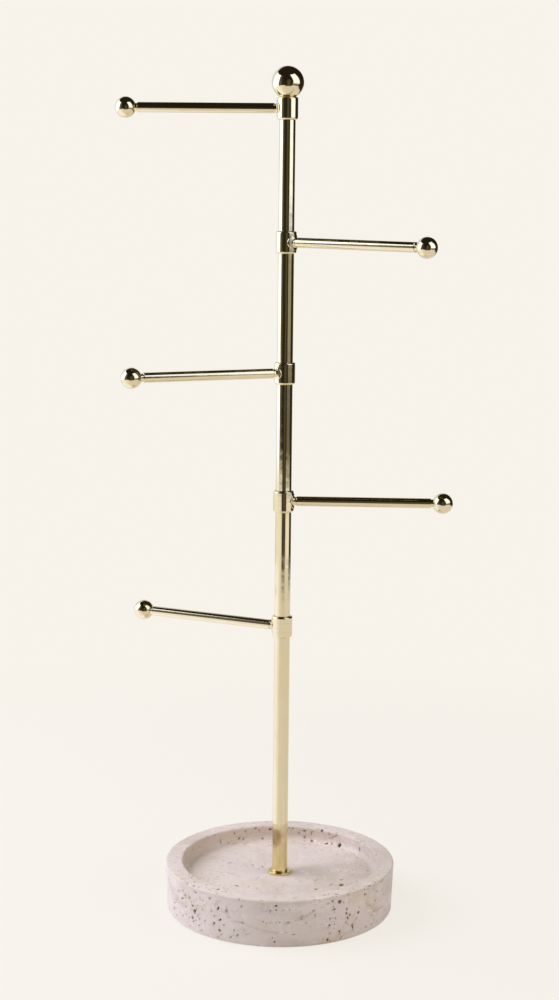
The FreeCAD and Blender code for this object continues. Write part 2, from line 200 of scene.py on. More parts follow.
def add(tree, kind, settings=None, **inputs):
    """A node whose inputs hold values or are fed by other nodes' outputs.

    An input is named by its label with spaces as underscores, or by its number after an n.
    """
    node = tree.nodes.new(kind)
    for name, setting in (settings or {}).items():
        setattr(node, name, setting)
    for name, given in inputs.items():
        numbered = name[0] == "n" and name[1:].isdigit()
        join(tree, node.inputs[int(name[1:]) if numbered else name.replace("_", " ")], given)
    return node


def maths(tree, operation, *terms):
    """The output of a maths node."""
    inputs = {"n%d" % place: term for place, term in enumerate(terms)}
    return add(tree, "ShaderNodeMath", {"operation": operation}, **inputs).outputs[0]


def band(tree, given, low, high, start=0.0, end=1.0):
    """A value carried smoothly from low..high to start..end, and held beyond them."""
    return add(tree, "ShaderNodeMapRange", {"interpolation_type": "SMOOTHSTEP"}, Value=given,
               From_Min=low, From_Max=high, To_Min=start, To_Max=end).outputs["Result"]


def blend_colours(tree, share, first, second):
    """Two colours mixed by a share."""
    return add(tree, "ShaderNodeMix", {"data_type": "RGBA"}, n0=share, n6=first, n7=second).outputs[2]


def noise(tree, where, scale, detail, rough, distortion=0.0):
    """The grey output of a noise pattern, with so many grains to a metre."""
    return add(tree, "ShaderNodeTexNoise", Vector=where, Scale=scale, Detail=detail,
               Roughness=rough, Distortion=distortion).outputs["Fac"]


def bump(tree, height, distance, **under):
    """A normal tilted by a height pattern, whose full height is distance in metres."""
    return add(tree, "ShaderNodeBump", Height=height, Distance=distance, **under).outputs["Normal"]


def stored(tree, name):
    """A value that the mesh stores for each vertex."""
    return add(tree, "ShaderNodeAttribute", {"attribute_name": name}).outputs["Fac"]


def height_in(tree, where):
    """The height of object coordinates, in metres."""
    return add(tree, "ShaderNodeSeparateXYZ", Vector=where).outputs[2]


def empty_material(name):
    """A material with nothing in it: the material, its node tree and object coordinates."""
    material = bpy.data.materials.new(name)
    material.use_nodes = True
    tree = material.node_tree
    tree.nodes.clear()
    return material, tree, add(tree, "ShaderNodeTexCoord").outputs["Object"]


def shaded_material(name):
    """An empty Principled material: the material, its node tree, shader and object coordinates."""
    material, tree, where = empty_material(name)
    shader = add(tree, "ShaderNodeBsdfPrincipled")
    output = add(tree, "ShaderNodeOutputMaterial", Surface=shader.outputs[0])
    output.is_active_output = True
    return material, tree, shader, where


def feed(tree, shader, **inputs):
    """Link or set the shader's own sockets."""
    for name, given in inputs.items():
        join(tree, shader.inputs[name.replace("_", " ")], given)


# A noise pattern is grains to a metre, detail, roughness and any distortion. A range is where a
# pattern starts to show and where it is full, and after them its share or value at each.
NOISE_MIDDLE = 0.5

GOLD = (0.865, 0.748, 0.430, 1.0)
GOLD_WARM = (0.820, 0.670, 0.350, 1.0)
GOLD_PALE = (0.888, 0.785, 0.495, 1.0)
GOLD_DIM = (0.770, 0.655, 0.400, 1.0)
# Deeper gold near the post's foot is a painted warm reflection of the tray.
GOLD_PAINTED_BOUNCE = (0.860, 0.720, 0.360, 1.0)
GOLD_CLOUDS = (55.0, 4.0, 0.6)
GOLD_SMUDGES = (170.0, 5.0, 0.62, 0.4)
GOLD_SWELL = (240.0, 1.0, 0.4)
GOLD_LINES = (900.0, 3.0, 0.6)
GOLD_STREAKS = (420.0, 2.0, 0.5)
PALE_RANGE = (0.35, 0.68)
WARM_RANGE = (0.6, 0.8, 0.0, 0.45)
DIM_RANGE = (0.46, 0.66, 0.0, 0.4)
# Heights in metres between which the deeper gold at the post's foot, a painted warm reflection of the
# tray, fades out.
PAINTED_BOUNCE_RANGE = (0.024, 0.044, 0.8, 0.0)
SMUDGE_RANGE = (0.38, 0.74)
GOLD_SMOOTH, GOLD_DULLED = 0.045, 0.110
LINE_ROUGHNESS = (0.45, 0.75, 0.0, 0.05)
SWELL_HIGH = 0.00004


def gold_material(name, turn=0.0, stretch=(1.0, 1.0, 1.0), grain_high=0.0, dull=0.0):
    """Polished champagne gold plating, with drawing or turning lines where grain_high isn't nil.

    turn is the way the piece points, stretch squeezes the lines' pattern along X, Y and Z, and dull
    is added to the roughness.
    """
    material, tree, shader, where = shaded_material(name)
    own = add(tree, "ShaderNodeMapping", {"vector_type": "TEXTURE"}, Vector=where,
              Rotation=(0.0, 0.0, turn)).outputs[0]
    clouds = noise(tree, own, *GOLD_CLOUDS)
    smudges = noise(tree, own, *GOLD_SMUDGES)
    tone = blend_colours(tree, band(tree, clouds, *PALE_RANGE), GOLD, GOLD_PALE)
    tone = blend_colours(tree, band(tree, smudges, *WARM_RANGE), tone, GOLD_WARM)
    # Painted warm reflection of the tray: deeper gold near the post's foot.
    tone = blend_colours(tree, band(tree, height_in(tree, where), *PAINTED_BOUNCE_RANGE), tone, GOLD_PAINTED_BOUNCE)
    polish = band(tree, smudges, *SMUDGE_RANGE, GOLD_SMOOTH + dull, GOLD_DULLED + dull)
    lined = add(tree, "ShaderNodeMapping", Vector=own, Scale=stretch).outputs[0]
    surface = bump(tree, noise(tree, own, *GOLD_SWELL), SWELL_HIGH)
    if grain_high:
        streaks = noise(tree, lined, *GOLD_STREAKS)
        lines = noise(tree, lined, *GOLD_LINES)
        tone = blend_colours(tree, band(tree, streaks, *DIM_RANGE), tone, GOLD_DIM)
        surface = bump(tree, lines, grain_high, Normal=surface)
        polish = maths(tree, "ADD", polish, band(tree, lines, *LINE_ROUGHNESS))
    feed(tree, shader, Base_Color=tone, Metallic=1.0, Roughness=polish, Normal=surface)
    return material


STEEL = (0.52, 0.51, 0.49, 1.0)
STEEL_DULL = (0.37, 0.36, 0.35, 1.0)
STEEL_STRETCH = (0.05, 0.05, 1.0)
STEEL_RINGS = (2600.0, 2.0, 0.5)
STEEL_PATCHES = (130.0, 4.0, 0.6)
DULL_RANGE = (0.4, 0.65)
STEEL_ROUGHNESS = (0.35, 0.7, 0.26, 0.46)
RINGS_HIGH = 0.00002


def steel_material():
    """Turned, zinc-plated steel: tool marks round the axis and dull patches."""
    material, tree, shader, where = shaded_material("zinc_steel")
    marks = add(tree, "ShaderNodeMapping", Vector=where, Scale=STEEL_STRETCH).outputs[0]
    rings = noise(tree, marks, *STEEL_RINGS)
    patches = noise(tree, where, *STEEL_PATCHES)
    tone = blend_colours(tree, band(tree, patches, *DULL_RANGE), STEEL, STEEL_DULL)
    feed(tree, shader, Base_Color=tone, Metallic=1.0, Roughness=band(tree, rings, *STEEL_ROUGHNESS),
         Normal=bump(tree, rings, RINGS_HIGH))
    return material


FELT_DARK = (0.030, 0.026, 0.024, 1.0)
FELT_LIGHT = (0.062, 0.054, 0.049, 1.0)
FELT_FIBRES = (2400.0, 6.0, 0.7, 1.6)
FELT_CLUMPS = (420.0, 3.0, 0.6)
FIBRE_RANGE = (0.35, 0.68)
FELT_ROUGHNESS = (0.3, 0.7, 0.86, 0.98)
FELT_HIGH = 0.00025
FELT_SHEEN, FELT_SHEEN_ROUGHNESS = 0.4, 0.5


def felt_material():
    """Dense matte felt: matted fibres and a soft sheen."""
    material, tree, shader, where = shaded_material("pad_felt")
    fibres = noise(tree, where, *FELT_FIBRES)
    clumps = noise(tree, where, *FELT_CLUMPS)
    tone = blend_colours(tree, band(tree, fibres, *FIBRE_RANGE), FELT_DARK, FELT_LIGHT)
    height = maths(tree, "ADD", fibres, clumps)
    feed(tree, shader, Base_Color=tone, Roughness=band(tree, clumps, *FELT_ROUGHNESS),
         Normal=bump(tree, height, FELT_HIGH), Sheen_Weight=FELT_SHEEN,
         Sheen_Roughness=FELT_SHEEN_ROUGHNESS)
    return material


STONE_PINK = (0.692, 0.594, 0.572, 1.0)
STONE_GREY = (0.575, 0.490, 0.446, 1.0)
STONE_LIGHT = (0.770, 0.690, 0.655, 1.0)
STONE_WHITE = (0.850, 0.790, 0.765, 1.0)
STONE_TAN = (0.625, 0.515, 0.410, 1.0)
# The warm tone that is painted as shade on the recess's wall and as light on the tops.
STONE_PAINTED_WARMTH = (0.685, 0.565, 0.430, 1.0)
STONE_VEIN = (0.420, 0.345, 0.285, 1.0)
# Painted shade inside the pits and pinholes.
STONE_PIT_SHADE = (0.100, 0.063, 0.050, 1.0)
BEDDING_TILT = (0.5, 0.35, 0.0)
BEDDING_SQUEEZE = (1.0, 1.0, 2.2)
STONE_CLOUDS = (26.0, 5.0, 0.58, 0.5)
STONE_PATCHES = (75.0, 5.0, 0.62, 0.8)
STONE_MOTTLE = (620.0, 4.0, 0.65)
STONE_RIDGES = (34.0, 4.0, 0.55, 1.4)
STONE_CLUSTERS = (90.0, 2.0, 0.5)
STONE_FLECKS = (640.0, 3.0, 0.6)
STONE_CRUMBS = (1900.0, 3.0, 0.6)
GREY_RANGE = (0.42, 0.64)
LIGHT_RANGE = (0.5, 0.74, 0.0, 0.75)
CLOUDY_RANGE = (0.35, 0.62, 0.55, 1.0)
MOTTLE_RANGE = (0.46, 0.74, 0.0, 0.22)
VEIN_RANGE = (0.0, 0.016, 1.0, 0.0)
VEIN_PATCHES = (0.4, 0.62, 0.0, 0.42)
SEEN_VEIN_PATCHES = (0.35, 0.6, 0.1, 0.55)
# Pinholes: cells to a metre, how many cells have one, and their least and extra size in cells.
HOLE_CELLS = 620.0
HOLE_CHANCE = (0.47, 0.66, 0.0, 0.34)
HOLE_LEAST, HOLE_EXTRA = 0.1, 0.2
HOLE_RANGE = (0.0, 0.08, 1.0, 0.0)
# How far the pinholes are darkened with painted shade.
HOLE_SHADE = 0.5
FLECK_RANGE = (0.56, 0.7)
FLECKS_BY_HOLES = (0.02, 0.25, 0.1, 0.6)
FLECKS_BY_TAN = (0.1, 0.5, 0.0, 0.28)
# How ragged the pits' edges are, and their brown edge and the painted shade inside them.
PIT_RAGGED = 0.35
PIT_EDGE_RANGE = (0.05, 0.45, 0.0, 0.75)
PIT_SHADE_RANGE = (0.32, 0.9)
WORN_PATCHES = (0.38, 0.6, 0.45, 0.15)
STONE_ROUGHNESS = (0.3, 0.7, 0.5, 0.68)
PIT_ROUGHNESS = 0.95
GRAIN_HIGH, HOLE_DEEP = 0.00005, 0.00025
STONE_SPECULAR = 0.35


def stone_clouds(tree, bedding, mottle, patches):
    """Honed travertine's colours: pink and grey clouds, pale and tan patches, and mottle, with painted
    warm shade on the recess's wall and painted warm light on the tops.
    """
    clouds = noise(tree, bedding, *STONE_CLOUDS)
    tone = blend_colours(tree, band(tree, clouds, *GREY_RANGE), STONE_PINK, STONE_GREY)
    tone = blend_colours(tree, band(tree, patches, *LIGHT_RANGE), tone, STONE_LIGHT)
    tone = blend_colours(tree, stored(tree, "pale"), tone, STONE_LIGHT)
    cloudy = band(tree, patches, *CLOUDY_RANGE)
    # The stored wall share: painted warm shade on the recess's wall and painted warm light on the
    # tops.
    tone = blend_colours(tree, maths(tree, "MULTIPLY", stored(tree, "wall"), cloudy), tone, STONE_PAINTED_WARMTH)
    tone = blend_colours(tree, maths(tree, "MULTIPLY", stored(tree, "tan"), cloudy), tone, STONE_TAN)
    return blend_colours(tree, band(tree, mottle, *MOTTLE_RANGE), tone, STONE_VEIN)


def stone_veins(tree, bedding, patches, tone):
    """Faint veins over the tone, from a noise's ridges and from those that the mesh stores."""
    ridges = noise(tree, bedding, *STONE_RIDGES)
    line = maths(tree, "ABSOLUTE", maths(tree, "SUBTRACT", ridges, NOISE_MIDDLE))
    vein = maths(tree, "MULTIPLY", band(tree, line, *VEIN_RANGE), band(tree, patches, *VEIN_PATCHES))
    tone = blend_colours(tree, vein, tone, STONE_VEIN)
    seen = maths(tree, "MULTIPLY", stored(tree, "vein"), band(tree, patches, *SEEN_VEIN_PATCHES))
    return blend_colours(tree, seen, tone, STONE_VEIN)


def stone_pinholes(tree, where, clusters):
    """1 in pinholes and 0 between them."""
    cells = add(tree, "ShaderNodeTexVoronoi", Vector=where, Scale=HOLE_CELLS, Randomness=1.0)
    chosen, size, _ = add(tree, "ShaderNodeSeparateColor", Color=cells.outputs["Color"]).outputs
    few = maths(tree, "LESS_THAN", chosen, clusters)
    reach = maths(tree, "MULTIPLY_ADD", size, HOLE_EXTRA, HOLE_LEAST)
    hole = maths(tree, "SUBTRACT", cells.outputs["Distance"], reach)
    return maths(tree, "MULTIPLY", few, band(tree, hole, *HOLE_RANGE))


def stone_material():
    """Honed travertine: pinkish clouds, faint tan veins, pits and pinholes darkened with painted
    shade, bruised edges.
    """
    material, tree, shader, where = shaded_material("travertine")
    bedding = add(tree, "ShaderNodeMapping", Vector=where, Rotation=BEDDING_TILT,
                  Scale=BEDDING_SQUEEZE).outputs[0]
    patches = noise(tree, bedding, *STONE_PATCHES)
    mottle = noise(tree, where, *STONE_MOTTLE)
    tone = stone_clouds(tree, bedding, mottle, patches)
    tone = stone_veins(tree, bedding, patches, tone)

    clusters = band(tree, noise(tree, bedding, *STONE_CLUSTERS), *HOLE_CHANCE)
    pinhole = stone_pinholes(tree, where, clusters)
    # Painted shade in the pinholes.
    tone = blend_colours(tree, maths(tree, "MULTIPLY", pinhole, HOLE_SHADE), tone, STONE_PIT_SHADE)
    spread = maths(tree, "MAXIMUM", band(tree, clusters, *FLECKS_BY_HOLES),
                   band(tree, stored(tree, "tan"), *FLECKS_BY_TAN))
    flecks = band(tree, noise(tree, where, *STONE_FLECKS), *FLECK_RANGE)
    tone = blend_colours(tree, maths(tree, "MULTIPLY", flecks, spread), tone, STONE_WHITE)

    crumbs = maths(tree, "SUBTRACT", noise(tree, where, *STONE_CRUMBS), NOISE_MIDDLE)
    ragged = maths(tree, "MULTIPLY_ADD", crumbs, PIT_RAGGED, stored(tree, "pit"))
    tone = blend_colours(tree, band(tree, ragged, *PIT_EDGE_RANGE), tone, STONE_VEIN)
    # Painted shade inside the pits, within their brown edge.
    pit_shade = band(tree, ragged, *PIT_SHADE_RANGE)
    tone = blend_colours(tree, pit_shade, tone, STONE_PIT_SHADE)
    worn = maths(tree, "MULTIPLY", stored(tree, "edge"), band(tree, patches, *WORN_PATCHES))
    tone = blend_colours(tree, worn, tone, STONE_TAN)

    polish = band(tree, mottle, *STONE_ROUGHNESS)
    polish = maths(tree, "MAXIMUM", polish, maths(tree, "MULTIPLY", pit_shade, PIT_ROUGHNESS))
    grain = bump(tree, mottle, GRAIN_HIGH)
    grain = bump(tree, maths(tree, "MULTIPLY", pinhole, -1.0), HOLE_DEEP, Normal=grain)
    feed(tree, shader, Base_Color=tone, Roughness=polish, Normal=grain,
         Specular_IOR_Level=STONE_SPECULAR)
    return material


# ---- travertine tray ----


# Steps of the tray's mesh in millimetres, in sight, hidden and on a rounded corner, the fewest on
# a corner, and how many there are round the axis.
GRID_STEP = 1.2
HIDDEN_STEP = 8.0
ARC_STEP = 0.4 * GRID_STEP
ARC_LEAST = 4
GRID_TURNS = 312


def corner_angle(before, corner, after):
    """Unit directions from a corner back and on along an outline, and half the angle between."""
    back, on = before - corner, after - corner
    back /= np.linalg.norm(back)
    on /= np.linalg.norm(on)
    return back, on, math.acos(float(np.clip(back @ on, -1, 1))) / 2


def rounded_path(corners):
    """Points along a closed outline whose corners are (radius, height, rounding, step).

    The points of the run that follows a corner are about its step apart.
    """
    places = [np.array(corner[:2], float) for corner in corners]
    count = len(places)
    path = []
    for index, corner in enumerate(places):
        rounding, step = corners[index][2:]
        following = (index + 1) % count
        leave, target = corner, places[following]
        if rounding:
            back, on, half = corner_angle(places[index - 1], corner, target)
            reach = rounding / math.tan(half)
            centre = corner + (back + on) / np.linalg.norm(back + on) * rounding / math.sin(half)
            first, leave = corner + back * reach, corner + on * reach
            pieces = max(ARC_LEAST, math.ceil(rounding * (math.pi - 2 * half) / ARC_STEP))
            for share in np.linspace(0, 1, pieces + 1):
                out = (1 - share) * (first - centre) + share * (leave - centre)
                path.append(centre + out / np.linalg.norm(out) * rounding)
        else:
            path.append(corner)
        rounding = corners[following][2]
        if rounding:
            back, _, half = corner_angle(corner, target, places[(following + 1) % count])
            target = target + back * rounding / math.tan(half)
        pieces = max(1, round(float(np.linalg.norm(target - leave)) / step))
        for share in range(1, pieces):
            path.append(leave + (target - leave) * share / pieces)
    return np.array(path)


def tray_outline():
    """The tray's half section as points of radius and height, in metres."""
    low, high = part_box("stone_tray")
    outer = high.x / MM
    foot, top = low.z / MM, high.z / MM
    floor = top - RECESS_DEEP
    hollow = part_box("felt_pad")[1].x / MM + FELT_GAP
    corners = (
        (COUNTERBORE, foot, 0, HIDDEN_STEP),
        (hollow, foot, 0, GRID_STEP),
        (hollow, foot - LIP_TALL, 0, GRID_STEP),
        (outer - WALL_TAPER, foot - LIP_TALL, FOOT_ROUND, GRID_STEP),
        (outer, top, RIM_ROUND, GRID_STEP),
        (outer - RIM_WIDE, top, RIM_ROUND, GRID_STEP),
        (outer - RIM_WIDE, floor, RECESS_COVE, GRID_STEP),
        (BOLT_HOLE, floor, 0, HIDDEN_STEP),
        (BOLT_HOLE, foot + COUNTERBORE_DEEP, 0, HIDDEN_STEP),
        (COUNTERBORE, foot + COUNTERBORE_DEEP, 0, HIDDEN_STEP),
    )
    return rounded_path(corners) * MM


def lathe_mesh(name, outline, turns):
    """A closed mesh made by turning a closed outline about Z."""
    angles = np.linspace(0, 2 * math.pi, turns, endpoint=False)
    radius, height = outline[:, 0], outline[:, 1]
    across, along = np.outer(np.cos(angles), radius), np.outer(np.sin(angles), radius)
    points = np.stack((across, along, np.tile(height, (turns, 1))), axis=-1).reshape(-1, 3)
    rows = len(outline)
    turn, row = np.meshgrid(np.arange(turns), np.arange(rows), indexing="ij")
    after, above = (turn + 1) % turns, (row + 1) % rows
    here, there = turn * rows, after * rows
    faces = np.stack((here + row, there + row, there + above, here + above), axis=-1).reshape(-1, 4)
    mesh = bpy.data.meshes.new(name)
    mesh.from_pydata(points.tolist(), [], faces.tolist())
    mesh.validate()
    return mesh


def read_vertices(mesh):
    """A mesh's points and their normals as rows."""
    points = np.zeros(len(mesh.vertices) * 3)
    normals = np.zeros(len(mesh.vertices) * 3)
    mesh.vertices.foreach_get("co", points)
    mesh.vertex_normals.foreach_get("vector", normals)
    return points.reshape(-1, 3), normals.reshape(-1, 3)


def turns_of(points):
    """Degrees round the post, from 0 on the camera's side to 90 on the right."""
    return np.degrees(np.arctan2(points[:, 0], -points[:, 1]))


def squares(points, place):
    """The squared distance of each point from a place."""
    return ((points - place) ** 2).sum(1)


# A point faces the camera where the cosine of its normal to the way there is over the first. A
# spot is laid near a point within so many pixels of it, in the layer of so many metres that is
# nearest to the camera. Where no plane is met within a step of its point, the closest is taken.
FACING_LEAST = 0.1
SEEN_NEAR = 4.0
SEEN_LAYER = 3 * MM
MISS_SLACK = 1.01


def seen_at(points, normals, spots):
    """The places and normals that the camera sees at spots, which are pixels across and down.

    The ray through a spot meets the plane of each point nearby, and the place is where it meets
    the plane of the point that it passes closest to, in the layer nearest to the camera.
    """
    across, down, depth = to_pixels(points)
    camera = np.array(CAMERA_AT)
    right, up, forward = (np.array(axis) for axis in photo_axes())
    away = camera - points
    facing = (away * normals).sum(1) > FACING_LEAST * np.linalg.norm(away, axis=1)
    places, tilts = [], []
    for spot in spots:
        off = np.hypot(across - spot[0], down - spot[1])
        near = np.flatnonzero(facing & (off < SEEN_NEAR))
        ray = forward * FOCAL_PX + right * (spot[0] - PHOTO_WIDE / 2) - up * (spot[1] - PHOTO_TALL / 2)
        reach = -(away[near] * normals[near]).sum(1) / (normals[near] @ ray)
        hits = camera + ray * reach[:, None]
        missed = np.linalg.norm(hits - points[near], axis=1)
        hit = missed < max(GRID_STEP * MM, missed.min() * MISS_SLACK)
        first = hit & (depth[near] < depth[near][hit].min() + SEEN_LAYER)
        best = np.where(first, missed, np.inf).argmin()
        places.append(hits[best])
        tilts.append(normals[near[best]])
    return np.array(places), np.array(tilts)


# A pit's outline has so many waves, each up to this share of its half size.
WAVES = 4
WAVE_HIGH = 0.16


def make_pit(place, normal, long, wide, lean, deep, draw):
    """A pit as a dict: its place, its own axes, half sizes, depth and a ragged outline."""
    round_way = np.cross((0.0, 0.0, 1.0), place)
    round_way /= np.linalg.norm(round_way)
    up_way = np.cross(normal, round_way)
    lean = math.radians(lean)
    return {
        "place": place,
        "along": math.cos(lean) * up_way + math.sin(lean) * round_way,
        "across": math.cos(lean) * round_way - math.sin(lean) * up_way,
        "long": long / 2 * MM,
        "wide": wide / 2 * MM,
        "deep": deep * MM,
        "waves": draw.uniform(-WAVE_HIGH, WAVE_HIGH, WAVES),
        "phases": draw.uniform(0, 2 * math.pi, WAVES),
        "dark": 1.0,
    }


# A pit's depth in millimetres is the first number and the second times its width. The photograph's
# pits have it whole and are full dark, and its marks have these shares of both.
SEEN_DEPTH = (0.4, 0.32)
RANDOM_DEPTH = (0.18, 0.3)
PIT_DEEP, PIT_DARK = 1.0, 1.0
MARK_DEEP, MARK_DARK = 0.45, 0.55
RANDOM_PITS = 410
CHIPS = 46
# How common small pits are round the tray, by degrees right of the camera's side.
PIT_CHANCE = (
    (-180, 0.6), (-105, 0.5), (-78, 0.9), (-42, 1.0), (-28, 0.12), (8, 0.08), (20, 0.8), (46, 1.0),
    (62, 0.45), (120, 0.6), (180, 0.6),
)
# The power of the radius by which pits are likelier outwards, the clusters and how far they
# spread, the share of pits that are in none, and the added chance of a pit where pits are rare.
OUTWARD_POWER = 3
HEARTS = 34
HEART_SPREAD = 7 * MM
LOOSE_SHARE = 0.35
STRAY_CHANCE = 0.15
# Random pits stay so far above the foot and off the post's axis.
FOOT_CLEAR, POST_CLEAR = 1.2 * MM, 8 * MM
# Random pits: least length, its gamma draw, width as a share of the length, and lean in degrees.
PIT_SHORT, PIT_GAMMA = 0.45, (2.0, 0.2)
PIT_WIDTHS = (0.45, 0.95)
PIT_LEAN = (15, 35)
# How dark they are: at most, for no length and more for each millimetre, then the share kept
# where pits are rare and how fast it grows.
DARK_MOST, DARK_LEAST, DARK_GROWS = 0.85, 0.22, 0.42
RARE_DARK, RARE_GROWS = 0.45, 0.9
# Chips: upward part of the normals on the rim's rounded edges, length, width, lean and depth.
EDGE_TILTS = (0.45, 0.9)
CHIP_LENGTHS = (0.8, 2.6)
CHIP_WIDTH = 0.5
CHIP_LEAN = (90, 12)
CHIP_DEPTHS = (0.12, 0.3)


def seen_pits(points, normals, spots, deep, dark, draw):
    """The pits of a table of spots, all as dark, and so many times as deep as a full pit."""
    pits = []
    for place, tilt, spot in zip(*seen_at(points, normals, spots), spots):
        long, wide, lean = spot[2:]
        full = SEEN_DEPTH[0] + SEEN_DEPTH[1] * wide
        pit = make_pit(place, tilt, long, wide, lean, deep * full, draw)
        pit["dark"] = dark
        pits.append(pit)
    return pits


def scattered_pits(points, normals, draw):
    """Small pits in clusters all over the tray."""
    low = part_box("stone_tray")[0]
    radii = np.hypot(points[:, 0], points[:, 1])
    shown = np.flatnonzero((points[:, 2] > low.z + FOOT_CLEAR) & (radii > POST_CLEAR))
    turns = turns_of(points[shown])
    chance = radii[shown] ** OUTWARD_POWER * np.interp(turns, *zip(*PIT_CHANCE))
    chance /= chance.sum()
    hearts = points[draw.choice(shown, HEARTS, p=chance)]
    pits = []
    while len(pits) < RANDOM_PITS:
        heart = hearts[draw.integers(len(hearts))]
        spread = draw.normal(0, HEART_SPREAD, 3)
        loose = draw.random() < LOOSE_SHARE
        target = points[draw.choice(shown, p=chance)] if loose else heart + spread
        nearest = squares(points[shown], target).argmin()
        pick = shown[nearest]
        common = np.interp(turns[nearest], *zip(*PIT_CHANCE))
        if draw.random() > common + STRAY_CHANCE:
            continue
        long = PIT_SHORT + draw.gamma(*PIT_GAMMA)
        wide = long * draw.uniform(*PIT_WIDTHS)
        pit = make_pit(points[pick], normals[pick], long, wide, draw.normal(*PIT_LEAN),
                       RANDOM_DEPTH[0] + RANDOM_DEPTH[1] * wide, draw)
        kept = min(1.0, RARE_DARK + RARE_GROWS * common)
        pit["dark"] = min(DARK_MOST, DARK_LEAST + DARK_GROWS * long) * kept
        pits.append(pit)
    return pits


def rim_chips(points, normals, draw):
    """Shallow chips along the rim's edges, which only change its shape."""
    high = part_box("stone_tray")[1]
    upward = np.abs(normals[:, 2])
    corner = (upward > EDGE_TILTS[0]) & (upward < EDGE_TILTS[1])
    corner = np.flatnonzero(corner & (points[:, 2] > high.z - RIM_ROUND * MM))
    chips = []
    for pick in draw.choice(corner, CHIPS):
        long = draw.uniform(*CHIP_LENGTHS)
        lean = CHIP_LEAN[0] + draw.normal(0, CHIP_LEAN[1])
        chip = make_pit(points[pick], normals[pick], long, long * CHIP_WIDTH, lean,
                        draw.uniform(*CHIP_DEPTHS), draw)
        chip["dark"] = 0.0
        chips.append(chip)
    return chips


# The distance between a vein's points, and how wide it fades out.
VEIN_STEP = 0.35 * MM
VEIN_WIDE = 0.75 * MM


def seen_veins(points, normals):
    """The veins of SEEN_VEINS as rows of close points along each."""
    rows = []
    for vein in SEEN_VEINS:
        places = seen_at(points, normals, vein)[0]
        for start, end in zip(places, places[1:]):
            steps = max(2, math.ceil(np.linalg.norm(end - start) / VEIN_STEP))
            rows += [start + (end - start) * share for share in np.linspace(0, 1, steps)]
    return np.array(rows)


# Faces are divided within so many half lengths of a pit and steps of the mesh, or steps of a vein.
PIT_REFINED, PIT_MARGIN = 1.3, 0.5
VEIN_REFINED = 0.9
CUTS = 3


def refine_near(mesh, pits, veins):
    """Divide the faces that pits or veins touch."""
    shape = bmesh.new()
    shape.from_mesh(mesh)
    shape.faces.ensure_lookup_table()
    middles = np.array([face.calc_center_median() for face in shape.faces])
    touched = np.zeros(len(middles), bool)
    for pit in pits:
        reach = PIT_REFINED * pit["long"] + PIT_MARGIN * GRID_STEP * MM
        touched |= squares(middles, pit["place"]) < reach * reach
    for place in veins:
        touched |= squares(middles, place) < (VEIN_REFINED * GRID_STEP * MM) ** 2
    edges = {edge for index in np.flatnonzero(touched) for edge in shape.faces[index].edges}
    bmesh.ops.subdivide_edges(shape, edges=sorted(edges, key=lambda edge: edge.index),
                              cuts=CUTS, use_grid_fill=True)
    bmesh.ops.triangulate(shape, faces=[face for face in shape.faces if len(face.verts) > 4])
    shape.to_mesh(mesh)
    shape.free()


# A pit slopes down from the first, in half sizes, over the second. No point further off than so
# many half lengths is in it.
PIT_OUTER, PIT_SLOPE = 1.15, 0.6
PIT_WINDOW = 1.6


def pit_shape(pit, points):
    """How deep each point lies in a pit, from 0 at its edge to 1 on its floor."""
    off = points - pit["place"]
    long_way, wide_way = off @ pit["along"] / pit["long"], off @ pit["across"] / pit["wide"]
    angle = np.arctan2(wide_way, long_way)
    edge = 1 + sum(wave * np.cos((order + 2) * angle + phase)
                   for order, (wave, phase) in enumerate(zip(pit["waves"], pit["phases"])))
    inward = np.clip((PIT_OUTER - np.hypot(long_way, wide_way) / edge) / PIT_SLOPE, 0, 1)
    return inward * inward * (3 - 2 * inward)


def pits_at(points, pits):
    """How deep in metres the pits are at each point, and how dark."""
    sunk, dark = np.zeros(len(points)), np.zeros(len(points))
    for pit in pits:
        close = np.flatnonzero(squares(points, pit["place"]) < (PIT_WINDOW * pit["long"]) ** 2)
        shape = pit_shape(pit, points[close])
        sunk[close] = np.maximum(sunk[close], shape * pit["deep"])
        dark[close] = np.maximum(dark[close], shape * pit["dark"])
    return sunk, dark


# How sharply wear ends where the surface turns flat: a power.
EDGE_SHARP = 8


def edge_shares(points, normals):
    """How near each point lies to the rim's rounded edges, from 1 on them to 0 off them."""
    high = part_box("stone_tray")[1].z
    rim = np.clip(1 - np.abs(points[:, 2] - high) / (2 * RIM_ROUND * MM), 0, 1)
    return rim * (1 - np.abs(normals[:, 2]) ** EDGE_SHARP)


def patch_shares(points, places, patches):
    """How strong the patches of a table are at each point."""
    shares = np.zeros(len(points))
    for place, (_, _, radius, strength) in zip(places, patches):
        shares = np.maximum(shares, strength * np.exp(-squares(points, place) / (radius * MM) ** 2))
    return shares


# How tan the stone is round a pit, and how far the tan reaches past the pit.
HALO_TAN = 0.62
HALO_WIDE = 0.5 * MM


def halo_shares(points, pits):
    """How tan and crusty the stone is at each point round the pits."""
    shares = np.zeros(len(points))
    for pit in pits:
        off = squares(points, pit["place"]) / (pit["long"] + HALO_WIDE) ** 2
        shares = np.maximum(shares, HALO_TAN * np.exp(-off))
    return shares


# How much painted warm shade the recess's wall takes, by degrees right of the camera's side, and how
# much painted warm light all tops take.
WALL_SHADE_TAN = ((-180, 0.65), (-50, 0.65), (-20, 0.15), (125, 0.15), (155, 0.65), (180, 0.65))
TOP_LIGHT_TAN = 0.28


def recess_shade_top_light_shares(points, normals):
    """How strong the painted warm shade is on the recess's wall, and the painted warm light on the
    faces that look up.
    """
    outward = points[:, :2] / np.linalg.norm(points[:, :2], axis=1)[:, None]
    inward = np.clip(-(outward * normals[:, :2]).sum(1), 0, 1)
    upward = np.clip(normals[:, 2], 0, 1)
    return np.maximum(inward * np.interp(turns_of(points), *zip(*WALL_SHADE_TAN)), upward * TOP_LIGHT_TAN)


